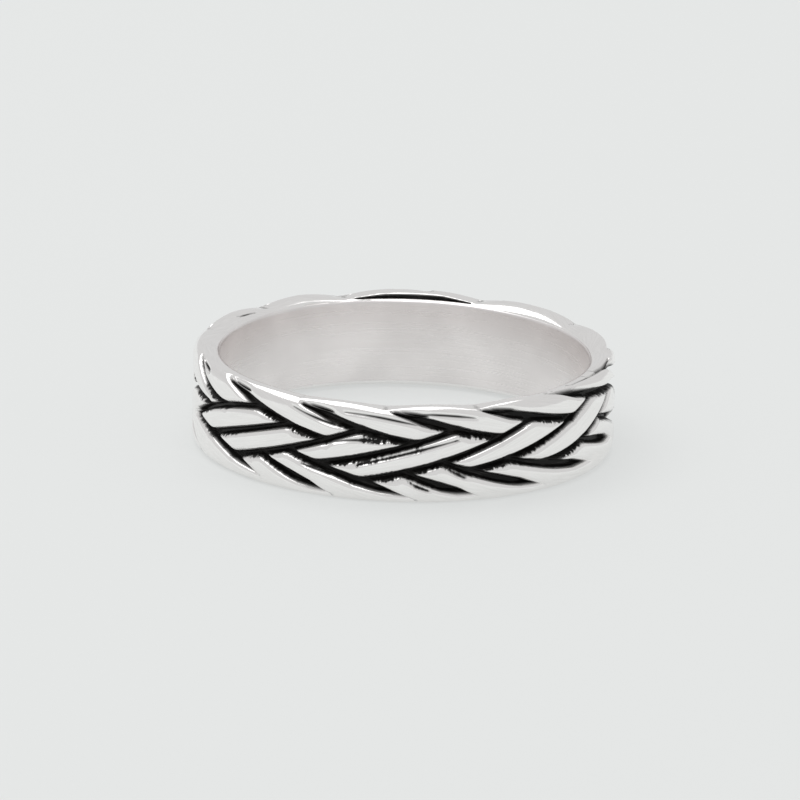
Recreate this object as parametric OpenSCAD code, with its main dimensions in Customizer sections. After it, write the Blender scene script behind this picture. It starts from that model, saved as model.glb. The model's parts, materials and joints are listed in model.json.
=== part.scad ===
// Braided band ring, cast in silver.
// A plain round sleeve carries a raised braid of flat strands, parted by deep grooves.
// The ring lies on its side. Its finger axis is Z, and its lower rim touches Z = 0.

/* [Sleeve] */
// Inner diameter of the ring, mm
finger_d = 19; // [16:0.1:22]
// Thickness of the plain sleeve inside the braid, mm
sleeve_wall = 0.46; // [0.42:0.01:0.5]
// Height of the plain sleeve along the finger, mm
sleeve_h = 4.5; // [4.4:0.02:4.6]

/* [Band] */
// Height of the band over the strands, along the finger, mm
band_h = 5.1; // [5:0.02:5.2]
// Radial thickness of the whole band, from the finger hole to the strands' crowns, mm
band_wall = 1.38; // [1.36:0.01:1.42]
// Radial width of the rims' outer quarter ellipse, up to the crest, mm
rim_w = 0.43; // [0.4:0.01:0.46]
// Height of the rims' outer quarter ellipse, mm
rim_h = 0.7; // [0.66:0.01:0.74]
// Height of the rims' inner quarter ellipse, from the crest down to the sleeve, mm
inner_rim_h = 0.45; // [0.4:0.01:0.46]

/* [Braid] */
// Height of a strand's crown above its own flanks, mm
crown_h = 0.24; // [0.2:0.01:0.3]
// How far a strand's flank reaches in from a groove, mm
crown_r = 0.3; // [0.2:0.01:0.36]
// Depth of the grooves between the strands, mm
groove_depth = 0.55; // [0.4:0.01:0.6]
// Radius that rounds the strands' ends between two grooves, mm
corner_r = 0.05; // [0.03:0.01:0.08]

/* [Mesh] */
// Columns of the relief round the ring
columns = 182; // [150:1:190]

/* [Hidden] */
$fn = 64;
SILVER = [0.84, 0.83, 0.82];

finger_r = finger_d / 2;
outer_r = finger_r + band_wall;
half_h = band_h / 2;
mid_z = half_h;
// Radius of the rims' crests, and how far their inner slope reaches in from there
crest_r = outer_r - rim_w;
inner_rim_w = crest_r - finger_r - 0.05;
// Section positions at which a rim starts and at which it is highest
rim_start = half_h - rim_h;
rim_end = rim_start + norm([rim_w, rim_h]) * PI / sqrt(8);
// Section position at which the rim's inside meets the sleeve
rim_foot = rim_end + norm([inner_rim_w, inner_rim_h]) * PI / sqrt(8);
// Section position at which the braid's skin ends, hidden inside the sleeve's wall
relief_edge = rim_foot + 0.3;
// Width of a groove's wall below the strand's flank
groove_wall = 0.1;
// Power of the curve of a strand's flank, 2 is an ellipse
flank_power = 2.2;
// Distance over which a groove's upper side turns into its lower one past its ends
side_blend = 0.3;
mm_per_deg = outer_r * PI / 180;

// One row for each groove: the angle round the ring from its front, in degrees, and the height
// above the band's middle, in mm, at which it starts, the same for its end, and how far it bows.
FROM_ANGLE = 0;
FROM_S = 1;
TO_ANGLE = 2;
TO_S = 3;
BOW = 4;
// From the upper rim down to the right
FRONT_UPPER = [
    [-77, 2.4, -57, 0.95, -0.28],
    [-56, 2.45, -21, 0.5, -0.17],
    [-28.5, 2.25, 4, 0.62, -0.15],
    [-2.5, 2.3, 27.5, 0.74, -0.1],
    [22.5, 2.3, 54, 0.98, -0.1],
    [45.5, 2.78, 84, 1.4, -0.3],
    [73, 3, 107, 0.75, -0.2],
    [252, 2.5, 293, 0.55, -0.4],
];
// From the lower left up to the right, across the middle
FRONT_MIDDLE = [
    [-77, -0.45, -42, 1.48, 0.3],
    [-66, -0.95, -33, 0.95, 0],
    [-54, -1.5, -11, 1.25, -0.15],
    [-25, -0.85, 15, 1.28, -0.12],
    [-13, -1.5, 38.5, 1.5, -0.3],
    [18, -0.92, 64, 1.8, -0.36],
    [42, -1, 78, 1.45, -0.52],
    [80, -0.85, 117, 1.4, -0.1],
    [254, -0.4, 281, 0.7, 0],
];
// From the middle down to the right, to the lower rim
FRONT_LOWER = [
    [-77, -0.5, -42.5, -2.08, 0.15],
    [-42, -0.92, -20, -2.3, -0.07],
    [-33, -0.38, 3, -2.3, 0],
    [1, -1, 20.5, -2.2, -0.08],
    [11, -0.42, 42, -2.13, -0.13],
    [30, -0.5, 62.5, -1.75, -0.12],
    [58, -0.45, 80, -1.4, 0],
    [70, 0.2, 103, -1.7, 0.1],
    [93, 0.05, 133, -2.2, 0],
];
// Angles at which the strands turn over the upper rim at the back, where the braid runs evenly
BACK_TURNS = [100, 125, 156, 178, 201, 228];
UPPER_GROOVES = concat(FRONT_UPPER, [for (a = BACK_TURNS) [a - 4, 2.6, a + 30, 0.75, -0.15]]);
MIDDLE_GROOVES = concat(FRONT_MIDDLE, [for (a = BACK_TURNS) [a + 5, -0.75, a + 42, 1.4, -0.1]]);
LOWER_GROOVES = concat(FRONT_LOWER, [for (a = BACK_TURNS) [a + 18, 0.05, a + 58, -2.2, 0]]);
// Half the width of each kind of groove at shares of its length
UPPER_HALF_WIDTHS = [[0, 0.1], [0.25, 0.25], [0.5, 0.2], [0.75, 0.15], [1, 0.15]];
MIDDLE_HALF_WIDTHS = [[0, 0.16], [1, 0.16]];
LOWER_HALF_WIDTHS = [[0, 0.15], [0.25, 0.2], [0.5, 0.25], [0.75, 0.22], [1, 0.03]];
// How much further the flanks below each kind of groove reach, where the strands dive under it
UPPER_DIVES = [[0, 0], [0.25, 0], [0.5, 0.6], [0.75, 1], [1, 1]];
MIDDLE_DIVES = [[0, 1], [0.25, 1], [0.5, 0.3], [0.75, 0], [1, 0]];
LOWER_DIVES = [[0, 0.3], [0.5, 0.3], [1, 0]];

// One row for each notch in the upper rim, where one strand dives under the next: its angle round
// the ring and its depth
RIM_NOTCHES = [[90, 0.06], [123, 0.14], [158, 0.32], [199, 0.36], [226, 0.28], [255, 0.12]];
// How far a notch reaches to each side, in degrees
notch_reach = 15;

GROOVES = 0;
HALF_WIDTHS = 1;
DIVES = 2;
KINDS = [
    [UPPER_GROOVES, UPPER_HALF_WIDTHS, UPPER_DIVES],
    [MIDDLE_GROOVES, MIDDLE_HALF_WIDTHS, MIDDLE_DIVES],
    [LOWER_GROOVES, LOWER_HALF_WIDTHS, LOWER_DIVES],
];

// How the relief's columns lean so that they run along the grooves: angle at heights on the band
LEAN = [[-3.2, 13], [-0.8, -30], [1, 0], [3.2, -31]];

// Eased step from 0 to 1
function smooth(x) = let (c = min(1, max(0, x))) c * c * (3 - 2 * c);

function total(list) = list * [for (value = list) 1];

// Distance from a groove's edge, negative inside it, and how the strand there dives under it
function beside(groove, kind, angle, s) = let (
    span = (groove[TO_ANGLE] - groove[FROM_ANGLE]) * mm_per_deg,
    middle = (groove[FROM_ANGLE] + groove[TO_ANGLE]) / 2,
    along = ((angle - middle + 540) % 360 - 180) * mm_per_deg / span + 0.5,
    t = min(1, max(0, along)),
    climb = groove[TO_S] - groove[FROM_S],
    rise = s - groove[FROM_S] - climb * t - 4 * groove[BOW] * t * (1 - t),
    slope = (climb + 4 * groove[BOW] * (1 - 2 * t)) / span,
    away = norm([(along - t) * span, rise / norm([1, slope])])
) [away - lookup(t, kind[HALF_WIDTHS]), lookup(t, kind[DIVES]) * smooth(0.5 - rise / side_blend)];

// Depth of a strand's flank or of a groove, at a distance from the groove's edge
function groove_profile(edge, dive) = let (
    side = min(1, max(0, 1 - edge / (crown_r * (1 + dive)))),
    flank = crown_h * (1 - pow(1 - pow(side, flank_power), 1 / flank_power))
) flank + (groove_depth - crown_h) * smooth(-edge / groove_wall);

// Depth of the braid below the band's smooth outline
function braid_depth(angle, s) = let (
    places = [for (kind = KINDS) for (groove = kind[GROOVES]) beside(groove, kind, angle, s)],
    pulls = [for (place = places) exp(-place[0] / corner_r)],
    dives = [for (place = places) place[1]],
    dive = dives * pulls / total(pulls)
) groove_profile(-corner_r * ln(total(pulls)), dive);

// Depth of the notches in the upper rim
function notch_depth(angle, s) = smooth((s - rim_start) / (rim_end - rim_start))
    * smooth((rim_foot - s) / (rim_foot - rim_end))
    * max([for (notch = RIM_NOTCHES)
        notch[1] * pow(max(0, 1 - abs((angle - notch[0] + 540) % 360 - 180) / notch_reach), 2)]);

// Radius and height of the band's smooth outline at section position s, sunk by depth d
function section(s, d) = let (
    a = abs(s),
    turn = 90 * min(1, max(0, (a - rim_start) / (rim_end - rim_start))),
    inside_turn = 90 * min(1, max(0, (a - rim_end) / (rim_foot - rim_end))),
    below_foot = max(0, a - rim_foot),
    r = a < rim_end
        ? crest_r + (rim_w - d) * cos(turn)
        : crest_r - (inner_rim_w - d) * sin(inside_turn),
    z = a < rim_start ? a
        : a < rim_end ? rim_start + (rim_h - d) * sin(turn)
        : half_h - inner_rim_h + (inner_rim_h - d) * cos(inside_turn) - below_foot
) [r, s < 0 ? -z : z];

// Point of the relief at an angle round the ring and section position s
function relief_point(angle, s) = let (
    rz = section(s, max(braid_depth(angle, s), notch_depth(angle, s)))
) [rz[0] * sin(angle), -rz[0] * cos(angle), mid_z + rz[1]];

// Section positions of the relief's rows, from the upper edge to the lower one
function row_positions() = let (
    face_rows = 22,
    slope = rim_foot - rim_end,
    inside = [relief_edge, rim_foot, rim_foot - slope / 3, rim_end + slope / 3],
    face = [for (n = [0:face_rows]) rim_end * (1 - 2 * n / face_rows)]
) concat(inside, face, [for (n = [len(inside) - 1:-1:0]) -inside[n]]);

// The raised braid: one closed skin, whose inner wall lies hidden inside the sleeve
module braid() {
    rows = row_positions();
    row_count = len(rows);
    pitch = 360 / columns;
    // Columns that the relief leans by from its upper edge to its lower one
    skew = round((lookup(-relief_edge, LEAN) - lookup(relief_edge, LEAN)) / pitch);
    points = [
        for (c = [0:columns - 1])
            for (s = rows)
                relief_point(c * pitch + lookup(s, LEAN), s)
    ];
    function at(c, r) = r < row_count
        ? (c % columns) * row_count + r
        : ((c + skew) % columns) * row_count;
    faces = [
        for (c = [0:columns - 1])
            for (r = [0:row_count - 1])
                for (half = [0, 1])
                    half == 0
                        ? [at(c, r), at(c + 1, r), at(c, r + 1)]
                        : [at(c + 1, r), at(c + 1, r + 1), at(c, r + 1)]
    ];
    polyhedron(points = points, faces = faces, convexity = 6);
}

// The plain sleeve round the finger, with full round edges
module sleeve() {
    edge_r = sleeve_wall / 2;
    straight = sleeve_h - 2 * edge_r;
    translate([0, 0, mid_z])
        rotate_extrude($fn = 128) {
            translate([finger_r, -straight / 2]) square([sleeve_wall, straight]);
            for (side = [-1, 1])
                translate([finger_r + edge_r, side * straight / 2]) circle(r = edge_r, $fn = 32);
        }
}

module braided_band() {
    color(SILVER) union() {
        sleeve();
        braid();
    }
}

braided_band();
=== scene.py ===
# Braided band ring in silver: polished strands, blackened grooves and a satin sleeve.
import json
import math

import bmesh
import bpy
import numpy as np
from mathutils import Matrix, Vector


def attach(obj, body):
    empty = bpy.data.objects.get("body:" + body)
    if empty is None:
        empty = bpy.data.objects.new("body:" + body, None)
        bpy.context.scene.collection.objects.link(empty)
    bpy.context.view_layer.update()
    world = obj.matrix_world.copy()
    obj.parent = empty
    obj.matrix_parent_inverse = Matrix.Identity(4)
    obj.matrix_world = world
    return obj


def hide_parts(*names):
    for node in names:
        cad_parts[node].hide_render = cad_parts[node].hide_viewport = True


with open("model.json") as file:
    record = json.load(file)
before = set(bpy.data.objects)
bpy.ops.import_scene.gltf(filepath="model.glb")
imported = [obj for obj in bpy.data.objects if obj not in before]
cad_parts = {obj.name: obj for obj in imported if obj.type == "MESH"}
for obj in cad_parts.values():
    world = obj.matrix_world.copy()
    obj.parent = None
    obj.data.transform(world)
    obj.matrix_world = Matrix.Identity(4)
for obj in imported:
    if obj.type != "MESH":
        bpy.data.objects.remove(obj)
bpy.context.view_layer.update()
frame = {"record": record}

MM = 0.001
FULL_TURN = 2 * math.pi
QUARTER_TURN = math.pi / 2


def quarter_arc(width, height):
    """Length of a quarter of an ellipse with these half axes, very nearly."""
    return math.hypot(width, height) * math.pi / math.sqrt(8)


# Band
BORE = frame["record"]["mounts"][0]
FINGER_R = BORE["dims"]["r_mm"] * MM
MID_Z = BORE["pos_m"][2]
BAND_WALL = 1.38 * MM
OUTER_R = FINGER_R + BAND_WALL
HALF_H = 2.55 * MM
# Millimetres for each degree round the band's outside
MM_PER_DEG = math.radians(OUTER_R / MM)

# Sleeve: a spun strip with full round edges
SLEEVE_WALL = 0.46 * MM
SLEEVE_H = 4.5 * MM
SLEEVE_SEGMENTS = 32
SLEEVE_STEPS = 288

# Rims: each is a quarter ellipse outside its crest, and a wider one inside, down to the sleeve
RIM_W = 0.43 * MM
RIM_H = 0.7 * MM
CREST_R = OUTER_R - RIM_W
RIM_FOOT_GAP = 0.05 * MM
INNER_RIM_W = CREST_R - FINGER_R - RIM_FOOT_GAP
INNER_RIM_H = 0.45 * MM

# Positions along the band's section, from its middle: where the rim starts to turn, where it
# is highest, where its inside meets the sleeve, and where the skin ends inside the sleeve
SKIN_TUCK = 0.3 * MM
RIM_START = HALF_H - RIM_H
RIM_TOP = RIM_START + quarter_arc(RIM_W, RIM_H)
RIM_FOOT = RIM_TOP + quarter_arc(INNER_RIM_W, INNER_RIM_H)
SKIN_EDGE = RIM_FOOT + SKIN_TUCK

# Relief, in millimetres. Beside a groove the strands round off, CROWN_H deep over a width of
# CROWN_R, and the groove's walls drop from there to its full depth. Crevices and creases have a
# depth of their own.
CROWN_H = 0.24
CROWN_R = 0.3
CROWN_POWER = 2.2
GROOVE_DEPTH = 0.55
GROOVE_WALL = 0.1
CREVICE_DEPTH = 0.36
CREASE_DEPTH = 0.07
CREASE_FLANK = 0.12
# How round the corners are where grooves meet, and how wide the change is from the strand above
# a groove to the one that dives under it, in millimetres
CORNER_R = 0.05
SIDE_BLEND = 0.3

# Angles at which the strands turn over the upper rim at the back, where the braid runs evenly
BACK_TURNS = (100, 125, 156, 178, 201, 228)

# The braid's strands lie between grooves. One row for each groove: the angle round the ring from
# its front in degrees and the height above the middle of the band in millimetres at which it
# starts, the same for its end, and how far its middle bows. On the rim the height counts on
# along the rim's curve.

# From the upper rim down to the right
UPPER_GROOVES = [
    (-77, 2.4, -57, 0.95, -0.28),
    (-56, 2.45, -21, 0.5, -0.17),
    (-28.5, 2.25, 4, 0.62, -0.15),
    (-2.5, 2.3, 27.5, 0.74, -0.1),
    (22.5, 2.3, 54, 0.98, -0.1),
    (45.5, 2.78, 84, 1.4, -0.3),
    (79, 1.5, 102, 0.4, 0),
    (73, 3, 107, 0.75, -0.2),
    (252, 2.5, 293, 0.55, -0.4),
] + [(a - 4, 2.6, a + 30, 0.75, -0.15) for a in BACK_TURNS]
# From the lower left up to the right, across the middle
MIDDLE_GROOVES = [
    (-77, -0.45, -42, 1.48, 0.3),
    (-66, -0.95, -33, 0.95, 0),
    (-54, -1.5, -11, 1.25, -0.15),
    (-25, -0.85, 15, 1.28, -0.12),
    (-13, -1.5, 38.5, 1.5, -0.3),
    (18, -0.92, 64, 1.8, -0.36),
    (42, -1, 78, 1.45, -0.52),
    (87, -0.7, 117, 1.4, -0.1),
    (254, -0.4, 281, 0.7, 0),
] + [(a + 5, -0.75, a + 42, 1.4, -0.1) for a in BACK_TURNS]
# From the middle down to the right, to the lower rim
LOWER_GROOVES = [
    (-77, -0.5, -42.5, -2.08, 0.15),
    (-42, -0.92, -20, -2.3, -0.07),
    (-33, -0.38, 3, -2.3, 0),
    (1, -1, 20.5, -2.2, -0.08),
    (11, -0.42, 42, -2.13, -0.13),
    (30, -0.5, 62.5, -1.75, -0.12),
    (58, -0.45, 80, -1.4, 0),
    (70, 0.2, 103, -1.7, 0.1),
    (93, 0.05, 133, -2.2, 0),
] + [(a + 18, 0.05, a + 58, -2.2, 0) for a in BACK_TURNS]
# Gaps inside the upper rim, between its strands and the sleeve's edge
RIM_CREVICES = ((160, 3.56, 196, 3.5, 0),)
# Second tips beside the starts of the first six upper grooves, and a gap on the rim at the right
UPPER_TIPS = [(a + 2.5, s + 0.08, a + 9, s - 0.2, 0) for a, s, *rest in UPPER_GROOVES[:6]] + [
    (66, 2.95, 86, 2.7, 0),
]
# Shallow creases on the strands, the last two inside the upper rim at the back
CREASES = (
    (-31, 2, -17, 1.3, -0.05),
    (-16, 2.08, 4, 1.6, 0.12),
    (0, 2.2, 20, 1.9, 0.08),
    (55, 2.88, 75, 2.6, 0.08),
    (-20, 0.4, -5, 0.68, 0.15),
    (-12, -0.62, 15, 0.78, 0.03),
    (-28, -0.95, -12, -1.55, 0),
    (2, -1.4, 7.5, -1.85, -0.05),
    (12, -0.7, 17.5, -1.25, 0),
    (205, 3.75, 213, 3.75, 0),
    (232, 3.3, 240, 3.2, 0),
)
# Half the width of each kind of groove in millimetres, from its start to its end in equal steps
UPPER_HALF_WIDTHS = (0.1, 0.25, 0.2, 0.15, 0.15)
MIDDLE_HALF_WIDTHS = (0.16, 0.16, 0.16, 0.16, 0.16)
LOWER_HALF_WIDTHS = (0.15, 0.18, 0.22, 0.2, -0.05)
CREVICE_HALF_WIDTHS = (0.08, 0.32, 0.32, 0.27, 0.05)
TIP_HALF_WIDTHS = (0.02, 0.05, 0.07, 0.07, 0.05)
CREASE_HALF_WIDTHS = (0.01, 0.03, 0.05, 0.05, 0.01)
# How softly the strands below each kind of groove dive under it, from its start to its end
UPPER_DIVE = (0, 0, 0.6, 1, 1)
MIDDLE_DIVE = (0.4, 1, 0.3, 0, 0)
LOWER_DIVE = (0.3, 0.2, 0.1, 0, 0)
NO_DIVE = (0, 0, 0, 0, 0)
GROOVE_KINDS = (
    (UPPER_GROOVES, UPPER_HALF_WIDTHS, UPPER_DIVE),
    (MIDDLE_GROOVES, MIDDLE_HALF_WIDTHS, MIDDLE_DIVE),
    (LOWER_GROOVES, LOWER_HALF_WIDTHS, LOWER_DIVE),
    (UPPER_TIPS, TIP_HALF_WIDTHS, NO_DIVE),
)
CREVICE_KINDS = ((RIM_CREVICES, CREVICE_HALF_WIDTHS, NO_DIVE),)
CREASE_KINDS = ((CREASES, CREASE_HALF_WIDTHS, NO_DIVE),)

# Notches in the upper rim, where one strand dives under the next: the angle in degrees and the
# depth in millimetres of each, at the front and at the back, and how many degrees they reach to
# each side
RIM_NOTCHES = (
    (-30, 0.12), (-5, 0.24), (21, 0.24), (46, 0.1),
    (90, 0.1), (123, 0.24), (158, 0.32), (199, 0.36), (226, 0.28), (255, 0.14),
)
NOTCH_REACH = 15

# How the columns of the skin lean so that they run along the grooves: heights at which the lean
# turns, in millimetres, and the angles there in degrees
LEAN_HEIGHTS = (-3.2, -0.8, 1, 3.2)
LEAN_ANGLES = (13, -30, 0, -31)

# Grid of the braid's skin. Its rows are counted from the X axis of a circle that Blender starts
# on the Y axis, so that all of them together have to be a multiple of four.
COLUMNS = 624
SKIN_ROWS = 144
HIDDEN_ROWS = 8
# Radius of the tube that the skin starts as, before its points are moved
TUBE_R = 1 * MM

# Values that the braid's points keep for its material, in millimetres apart from the dive, and
# the distance from a groove that its hidden points keep
BRAID_VALUES = ("groove", "dive", "along", "across")
FAR = 9

# Textures: scales along and across the grooves per millimetre, and on the sleeve per metre
SOOT_GRAIN = (5.5, 3)
STREAK_GRAIN = (1.1, 13)
POLISH_GRAIN = (0.5, 11)
SATIN_GRAIN = (150, 150, 14000)
SATIN_PATCHES = 260
LINE_DEPTH = 0.004 * MM

# Part of the noise's range that is used
NOISE_SPREAD = (0.3, 0.7)
STREAK_SPREAD = (0.52, 0.72)
# Distances from a groove's edge at which its black ends and is full, and how much further its
# soot reaches where a strand dives, in millimetres
BLACK_EDGE = (0.06, -0.04)
SOOT_REACH = 0.2

# Colours and roughness: two values are the ends of a range that the noise runs through
SOOT_COLOURS = ((0.006, 0.0055, 0.005, 1), (0.045, 0.042, 0.04, 1))
POLISHED_COLOURS = ((0.92, 0.906, 0.895, 1), (0.98, 0.967, 0.957, 1))
SATIN_COLOURS = ((0.82, 0.79, 0.782, 1), (0.92, 0.888, 0.88, 1))
FLOOR_COLOUR = (0.245, 0.25, 0.248, 1)
FLOOR_GLOW = (0.51, 0.519, 0.515, 1)
POLISHED_ROUGHNESS = 0.15
SOOT_ROUGHNESS = 0.5
SATIN_ROUGHNESS = (0.26, 0.38)
FLOOR_ROUGHNESS = 0.7

# Floor and light
FLOOR_HALF_WIDTH = 3
TENT_STRENGTH = 0.66
LAMP_AT = Vector((-0.15, 0.05, 0.6))
LAMP_SIZE = 0.75
LAMP_POWER = 2.4

# View of the photograph, in a frame of 800 x 800 pixels
FRAME_PX = 800
RING_PX = (403.6, 394.0)
PX_PER_MM = 19.405
CAMERA_DISTANCE = 0.6
CAMERA_ELEVATION = math.radians(16.88)
CAMERA_ROLL = math.radians(1.57)
SENSOR = 36.0


def smooth(x):
    """Eased step from 0 to 1."""
    c = np.clip(x, 0, 1)
    return c * c * (3 - 2 * c)


def degrees_from(place, angle):
    """How far each angle lies from a place round the ring, from -180 to 180 degrees."""
    return (angle - place + 180) % 360 - 180


def groove_profile(edge, dive):
    """Depth beside and in a groove, by the distance from its edge, which is negative inside, and
    by how softly the strand there dives."""
    reach = CROWN_R * (1 + dive)
    side = np.clip(1 - edge / reach, 0, 1)
    crown = CROWN_H * (1 - (1 - side ** CROWN_POWER) ** (1 / CROWN_POWER))
    return crown + (GROOVE_DEPTH - CROWN_H) * smooth(-edge / GROOVE_WALL)


def beside_grooves(kinds, angle, s):
    """Place of each point among the grooves, at angles in degrees and section positions s:
    distance from the nearest edge, how softly the strand dives there, and the distances along
    the nearest groove and across it, in millimetres."""
    total = np.zeros_like(angle)
    diving = np.zeros_like(angle)
    nearest = np.full_like(angle, np.inf)
    along_nearest = np.zeros_like(angle)
    across_nearest = np.zeros_like(angle)
    for grooves, half_widths, dives in kinds:
        stations = np.linspace(0, 1, len(half_widths))
        for start, start_s, end, end_s, bow in grooves:
            span = (end - start) * MM_PER_DEG
            middle = (start + end) / 2
            along = degrees_from(middle, angle) * MM_PER_DEG / span + 0.5
            t = np.clip(along, 0, 1)
            climb = end_s - start_s
            rise = s / MM - start_s - climb * t - 4 * bow * t * (1 - t)
            slope = (climb + 4 * bow * (1 - 2 * t)) / span
            across = rise / np.hypot(1, slope)
            edge = np.hypot((along - t) * span, across) - np.interp(t, stations, half_widths)

            # Near two grooves their pulls add up, which rounds the corner between them
            pull = np.exp(-edge / CORNER_R)
            total += pull
            diving += np.interp(t, stations, dives) * smooth(0.5 - rise / SIDE_BLEND) * pull

            # The angle of its middle is added, so that no two grooves have the same grain
            closer = edge < nearest
            nearest = np.where(closer, edge, nearest)
            along_nearest = np.where(closer, along * span + middle, along_nearest)
            across_nearest = np.where(closer, across, across_nearest)
    return -CORNER_R * np.log(total), diving / total, along_nearest, across_nearest


def notch_depth(angle, s):
    """Depth of the notches in the upper rim, in millimetres."""
    depth = np.zeros_like(angle)
    for place, deepest in RIM_NOTCHES:
        away = np.abs(degrees_from(place, angle)) / NOTCH_REACH
        depth = np.maximum(depth, deepest * np.maximum(0, 1 - away) ** 2)
    rising = smooth((s - RIM_START) / (RIM_TOP - RIM_START))
    return depth * rising * smooth((RIM_FOOT - s) / (RIM_FOOT - RIM_TOP))


def relief(angle, s):
    """Depth of the relief in millimetres, and at each point the braid's values for its material."""
    groove, dive, along, across = beside_grooves(GROOVE_KINDS, angle, s)
    crevice = beside_grooves(CREVICE_KINDS, angle, s)[0]
    crease = beside_grooves(CREASE_KINDS, angle, s)[0]
    depth = np.maximum(groove_profile(groove, dive), notch_depth(angle, s))
    depth += CREASE_DEPTH * smooth(1 - crease / CREASE_FLANK) * smooth(groove / CREASE_FLANK)
    depth = np.maximum(depth, CREVICE_DEPTH * smooth(-crevice / GROOVE_WALL))

    # Past the rim's crest nothing is deeper than a crevice, so that the rim stays whole
    past_crest = smooth((np.abs(s) - RIM_START) / (RIM_TOP - RIM_START))
    depth = np.minimum(depth, GROOVE_DEPTH + (CREVICE_DEPTH - GROOVE_DEPTH) * past_crest)
    edge = np.minimum(np.minimum(groove, crevice), crease)
    return depth, (edge, dive, along, across)


def outline(s, depth):
    """Radius and height of the band's smooth outline at section position s, sunk by depth. It runs
    straight, then round the rim's short ellipse to its crest, then round the wide one inside."""
    a = np.abs(s)
    turn = QUARTER_TURN * np.clip((a - RIM_START) / (RIM_TOP - RIM_START), 0, 1)
    inside_turn = QUARTER_TURN * np.clip((a - RIM_TOP) / (RIM_FOOT - RIM_TOP), 0, 1)
    below_foot = np.maximum(0, a - RIM_FOOT)
    inside = a >= RIM_TOP
    r = CREST_R + np.where(
        inside, -(INNER_RIM_W - depth) * np.sin(inside_turn), (RIM_W - depth) * np.cos(turn))
    rim_z = RIM_START + (RIM_H - depth) * np.sin(turn)
    inside_z = HALF_H - INNER_RIM_H + (INNER_RIM_H - depth) * np.cos(inside_turn) - below_foot
    z = np.where(inside, inside_z, np.where(a < RIM_START, a, rim_z))
    return r, np.sign(s) * z


def mesh_object(name, bm):
    """Makes a bmesh a smooth object of the scene."""
    mesh = bpy.data.meshes.new(name)
    bm.to_mesh(mesh)
    bm.free()
    mesh.shade_smooth()
    piece = bpy.data.objects.new(name, mesh)
    bpy.context.scene.collection.objects.link(piece)
    return piece


def spin_closed(bm, steps):
    """Spins a closed section a full turn about the finger axis, joins the ends and turns the
    faces outwards."""
    bmesh.ops.spin(
        bm, geom=bm.verts[:] + bm.edges[:], cent=(0, 0, 0), axis=(0, 0, 1),
        angle=FULL_TURN, steps=steps, use_merge=True)
    bmesh.ops.recalc_face_normals(bm, faces=bm.faces)


def stand_up(bm, r, z):
    """Turns a flat section upright and moves it to a radius and height, ready to be spun."""
    place = Matrix.Translation((r, 0, z)) @ Matrix.Rotation(QUARTER_TURN, 4, "X")
    bmesh.ops.transform(bm, verts=bm.verts, matrix=place)


def make_tube(rows, columns):
    """A tube round the ring, with each point's row, counted up from the tube's outermost line,
    and its column, counted round the ring from the front."""
    bm = bmesh.new()
    bmesh.ops.create_circle(bm, segments=rows, radius=TUBE_R)
    stand_up(bm, OUTER_R, 0)
    spin_closed(bm, columns)

    x, y, z = np.array([vertex.co for vertex in bm.verts]).T
    row = np.rint(np.arctan2(z, np.hypot(x, y) - OUTER_R) / FULL_TURN * rows).astype(int) % rows
    column = np.rint(np.arctan2(x, -y) / FULL_TURN * columns).astype(int) % columns
    return bm, row, column


def make_braid():
    """The raised braid: a tube whose every point is moved to its place between the grooves."""
    bm, row, column = make_tube(SKIN_ROWS + HIDDEN_ROWS, COLUMNS)

    # The skin's rows run from the lower edge to the upper edge, and the hidden rows back again
    # inside the sleeve's wall
    skin = row < SKIN_ROWS
    back = (row - SKIN_ROWS + 1) / (HIDDEN_ROWS + 1)
    s = np.where(skin, SKIN_EDGE * (2 * row / (SKIN_ROWS - 1) - 1), SKIN_EDGE)
    skin_lean = np.interp(s / MM, LEAN_HEIGHTS, LEAN_ANGLES)
    hidden_lean = LEAN_ANGLES[-1] + (LEAN_ANGLES[0] - LEAN_ANGLES[-1]) * back
    angle = column * 360 / COLUMNS + np.where(skin, skin_lean, hidden_lean)

    depth, (edge, *others) = relief(angle, s)
    r, z = outline(s, depth * MM)
    z = np.where(skin, z, z * (1 - 2 * back))
    turned = np.radians(angle)
    points = np.stack([r * np.sin(turned), -r * np.cos(turned), MID_Z + z], axis=1)
    for vertex, point in zip(bm.verts, points):
        vertex.co = point

    braid = mesh_object("braid", bm)
    for name, values in zip(BRAID_VALUES, (np.where(skin, edge, FAR), *others)):
        layer = braid.data.attributes.new(name, "FLOAT", "POINT")
        layer.data.foreach_set("value", values.astype(np.float32))
    return braid


def make_sleeve():
    """The plain sleeve round the finger."""
    edge_r = SLEEVE_WALL / 2
    half_straight = SLEEVE_H / 2 - edge_r
    bm = bmesh.new()
    bmesh.ops.create_circle(bm, segments=SLEEVE_SEGMENTS, radius=edge_r)

    # Turned by half a segment, no point lies at half height, and the two halves are drawn apart
    half_segment = Matrix.Rotation(math.pi / SLEEVE_SEGMENTS, 3, "Z")
    bmesh.ops.rotate(bm, verts=bm.verts, cent=(0, 0, 0), matrix=half_segment)
    for vertex in bm.verts:
        vertex.co.y += math.copysign(half_straight, vertex.co.y)
    stand_up(bm, FINGER_R + edge_r, MID_Z)
    spin_closed(bm, SLEEVE_STEPS)
    return mesh_object("sleeve", bm)


def give(tree, socket, value):
    """Links an input to another socket, or sets it to a plain value."""
    if isinstance(value, bpy.types.NodeSocket):
        tree.links.new(value, socket)
    else:
        socket.default_value = value


def set_inputs(tree, node, **values):
    """Links or sets a node's inputs by their names, with _ for each space."""
    for name, value in values.items():
        give(tree, node.inputs[name.replace("_", " ")], value)


def add_node(tree, kind, **values):
    """Adds a node. Names that start with a capital are its inputs, the others its properties."""
    node = tree.nodes.new(kind)
    for name, value in values.items():
        if name[0].isupper():
            set_inputs(tree, node, **{name: value})
        else:
            setattr(node, name, value)
    return node


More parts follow.
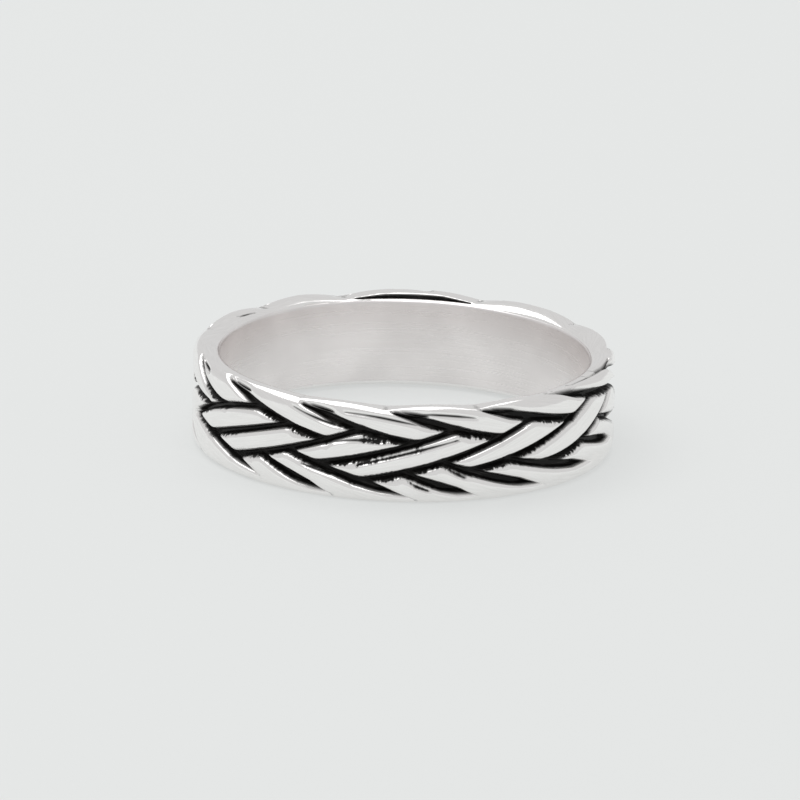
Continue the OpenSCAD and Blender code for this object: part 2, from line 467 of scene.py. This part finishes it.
def math_node(tree, operation, first, second):
    """A Math node on two sockets or numbers."""
    node = add_node(tree, "ShaderNodeMath", operation=operation)
    for socket, value in zip(node.inputs, (first, second)):
        give(tree, socket, value)
    return node.outputs[0]


def map_range(tree, value, given, result=(0, 1)):
    """A smooth Map Range node, from the given pair of numbers to the resulting pair."""
    node = add_node(
        tree, "ShaderNodeMapRange", interpolation_type="SMOOTHSTEP", Value=value,
        From_Min=given[0], From_Max=given[1], To_Min=result[0], To_Max=result[1])
    return node.outputs[0]


def mix_colours(tree, factor, first, second):
    """A colour Mix node between two colours or colour sockets."""
    node = add_node(tree, "ShaderNodeMix", data_type="RGBA", Factor=factor)
    colour_inputs = [socket for socket in node.inputs if socket.type == "RGBA"]
    for socket, value in zip(colour_inputs, (first, second)):
        give(tree, socket, value)
    return next(socket for socket in node.outputs if socket.type == "RGBA")


def groove_coordinates(tree, along, across, scales):
    """Texture coordinates in the directions along and across the grooves."""
    node = add_node(
        tree, "ShaderNodeCombineXYZ",
        X=math_node(tree, "MULTIPLY", along, scales[0]),
        Y=math_node(tree, "MULTIPLY", across, scales[1]))
    return node.outputs[0]


def groove_noise(tree, along, across, scales):
    """Noise that is stretched along or across the grooves."""
    vector = groove_coordinates(tree, along, across, scales)
    node = add_node(
        tree, "ShaderNodeTexNoise", Vector=vector, Scale=1, Detail=3, Roughness=0.6)
    return node.outputs["Fac"]


def fine_lines_group():
    """Fine lines, which run where the coordinates change slowly: a value and a normal."""
    group = bpy.data.node_groups.new("fine_lines", "ShaderNodeTree")
    group.interface.new_socket("Vector", in_out="INPUT", socket_type="NodeSocketVector")
    group.interface.new_socket("Depth", in_out="INPUT", socket_type="NodeSocketFloat")
    group.interface.new_socket("Value", in_out="OUTPUT", socket_type="NodeSocketFloat")
    group.interface.new_socket("Normal", in_out="OUTPUT", socket_type="NodeSocketVector")
    given = add_node(group, "NodeGroupInput").outputs
    lines = add_node(
        group, "ShaderNodeTexNoise", Vector=given["Vector"], Scale=1, Detail=3,
        Roughness=0.65).outputs["Fac"]
    bump = add_node(
        group, "ShaderNodeBump", Strength=0.4, Height=lines, Distance=given["Depth"])
    add_node(group, "NodeGroupOutput", Value=lines, Normal=bump.outputs["Normal"])
    return group


def place_lines(tree, fine_lines, vector):
    """Places the group of fine lines in a material. Gives its value and its normal."""
    node = add_node(
        tree, "ShaderNodeGroup", node_tree=fine_lines, Vector=vector, Depth=LINE_DEPTH)
    return node.outputs["Value"], node.outputs["Normal"]


def new_material(name):
    """A node material, its node tree and its Principled BSDF."""
    material = bpy.data.materials.new(name)
    material.use_nodes = True
    tree = material.node_tree
    return material, tree, tree.nodes["Principled BSDF"]


def braid_material(fine_lines):
    """Polished silver strands with fine polish lines, and blackened grooves with sooty edges."""
    material, tree, shader = new_material("blackened_silver")
    edge, dive, along, across = (
        add_node(tree, "ShaderNodeAttribute", attribute_name=name).outputs["Fac"]
        for name in BRAID_VALUES)

    # The black: crisp beside the strands on top, reaching out as ragged soot where a strand dives
    grain = groove_noise(tree, along, across, SOOT_GRAIN)
    ragged = map_range(tree, grain, NOISE_SPREAD, (0, SOOT_REACH))
    reach = math_node(tree, "MULTIPLY", dive, ragged)
    outside = math_node(tree, "SUBTRACT", edge, reach)
    black = map_range(tree, outside, BLACK_EDGE)

    # Paler streaks along the bottom of the grooves
    streaks = map_range(tree, groove_noise(tree, along, across, STREAK_GRAIN), STREAK_SPREAD)
    dark = mix_colours(tree, streaks, *SOOT_COLOURS)

    # Fine lines along the strands
    line_vector = groove_coordinates(tree, along, across, POLISH_GRAIN)
    lines, normal = place_lines(tree, fine_lines, line_vector)
    silver = mix_colours(tree, map_range(tree, lines, NOISE_SPREAD), *POLISHED_COLOURS)

    set_inputs(
        tree, shader,
        Base_Color=mix_colours(tree, black, silver, dark),
        Metallic=math_node(tree, "SUBTRACT", 1, black),
        Roughness=map_range(tree, black, (0, 1), (POLISHED_ROUGHNESS, SOOT_ROUGHNESS)),
        Specular_IOR_Level=0.2,
        Normal=normal)
    return material


def sleeve_material(fine_lines):
    """Satin silver with fine lines round the ring."""
    material, tree, shader = new_material("satin_silver")
    at = add_node(tree, "ShaderNodeTexCoord").outputs["Object"]
    line_vector = add_node(tree, "ShaderNodeMapping", Scale=SATIN_GRAIN, Vector=at).outputs[0]
    lines, normal = place_lines(tree, fine_lines, line_vector)
    patches = add_node(
        tree, "ShaderNodeTexNoise", Vector=at, Scale=SATIN_PATCHES, Detail=2,
        Roughness=0.5).outputs["Fac"]
    set_inputs(
        tree, shader,
        Base_Color=mix_colours(tree, map_range(tree, patches, NOISE_SPREAD), *SATIN_COLOURS),
        Metallic=1,
        Roughness=map_range(tree, lines, NOISE_SPREAD, SATIN_ROUGHNESS),
        Normal=normal)
    return material


def floor_material():
    """Plain pale floor. It glows in part, so that the ring's shadow on it stays faint."""
    material, tree, shader = new_material("pale_floor")
    set_inputs(
        tree, shader,
        Base_Color=FLOOR_COLOUR,
        Roughness=FLOOR_ROUGHNESS,
        Specular_IOR_Level=0.1,
        Emission_Color=FLOOR_GLOW,
        Emission_Strength=1)
    return material


def make_floor():
    """A wide plain floor under the ring."""
    bm = bmesh.new()
    bmesh.ops.create_grid(bm, x_segments=1, y_segments=1, size=FLOOR_HALF_WIDTH)
    floor = mesh_object("floor", bm)
    floor.data.materials.append(floor_material())


def light_scene():
    """An even white tent, with one soft light from above."""
    world = bpy.data.worlds.new("tent")
    world.use_nodes = True
    background = world.node_tree.nodes["Background"]
    set_inputs(world.node_tree, background, Color=(1, 1, 1, 1), Strength=TENT_STRENGTH)
    bpy.context.scene.world = world

    lamp = bpy.data.lights.new("overhead", "AREA")
    lamp.size = LAMP_SIZE
    lamp.energy = LAMP_POWER
    lamp_object = bpy.data.objects.new("overhead", lamp)
    lamp_object.location = LAMP_AT
    lamp_object.rotation_euler = (-LAMP_AT).to_track_quat("-Z", "Y").to_euler()
    bpy.context.scene.collection.objects.link(lamp_object)
    bpy.context.scene.view_settings.view_transform = "Standard"


def place_camera():
    """A long lens at the photograph's angle to the ring."""
    data = bpy.data.cameras.new("camera")
    data.sensor_width = SENSOR
    data.lens = PX_PER_MM / MM * CAMERA_DISTANCE * SENSOR / FRAME_PX
    data.shift_x = (FRAME_PX / 2 - RING_PX[0]) / FRAME_PX
    data.shift_y = (RING_PX[1] - FRAME_PX / 2) / FRAME_PX
    camera = bpy.data.objects.new("camera", data)
    centre = Vector((0, 0, MID_Z))
    towards = Vector((0, -math.cos(CAMERA_ELEVATION), math.sin(CAMERA_ELEVATION)))
    camera.location = centre + CAMERA_DISTANCE * towards
    turn = towards.to_track_quat("Z", "Y").to_matrix() @ Matrix.Rotation(CAMERA_ROLL, 3, "Z")
    camera.rotation_euler = turn.to_euler()
    bpy.context.scene.collection.objects.link(camera)
    bpy.context.scene.camera = camera


place_camera()
light_scene()
make_floor()

fine_lines = fine_lines_group()
braid = make_braid()
braid.data.materials.append(braid_material(fine_lines))
sleeve = make_sleeve()
sleeve.data.materials.append(sleeve_material(fine_lines))
for piece in (braid, sleeve):
    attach(piece, "root")
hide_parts("braided_band")
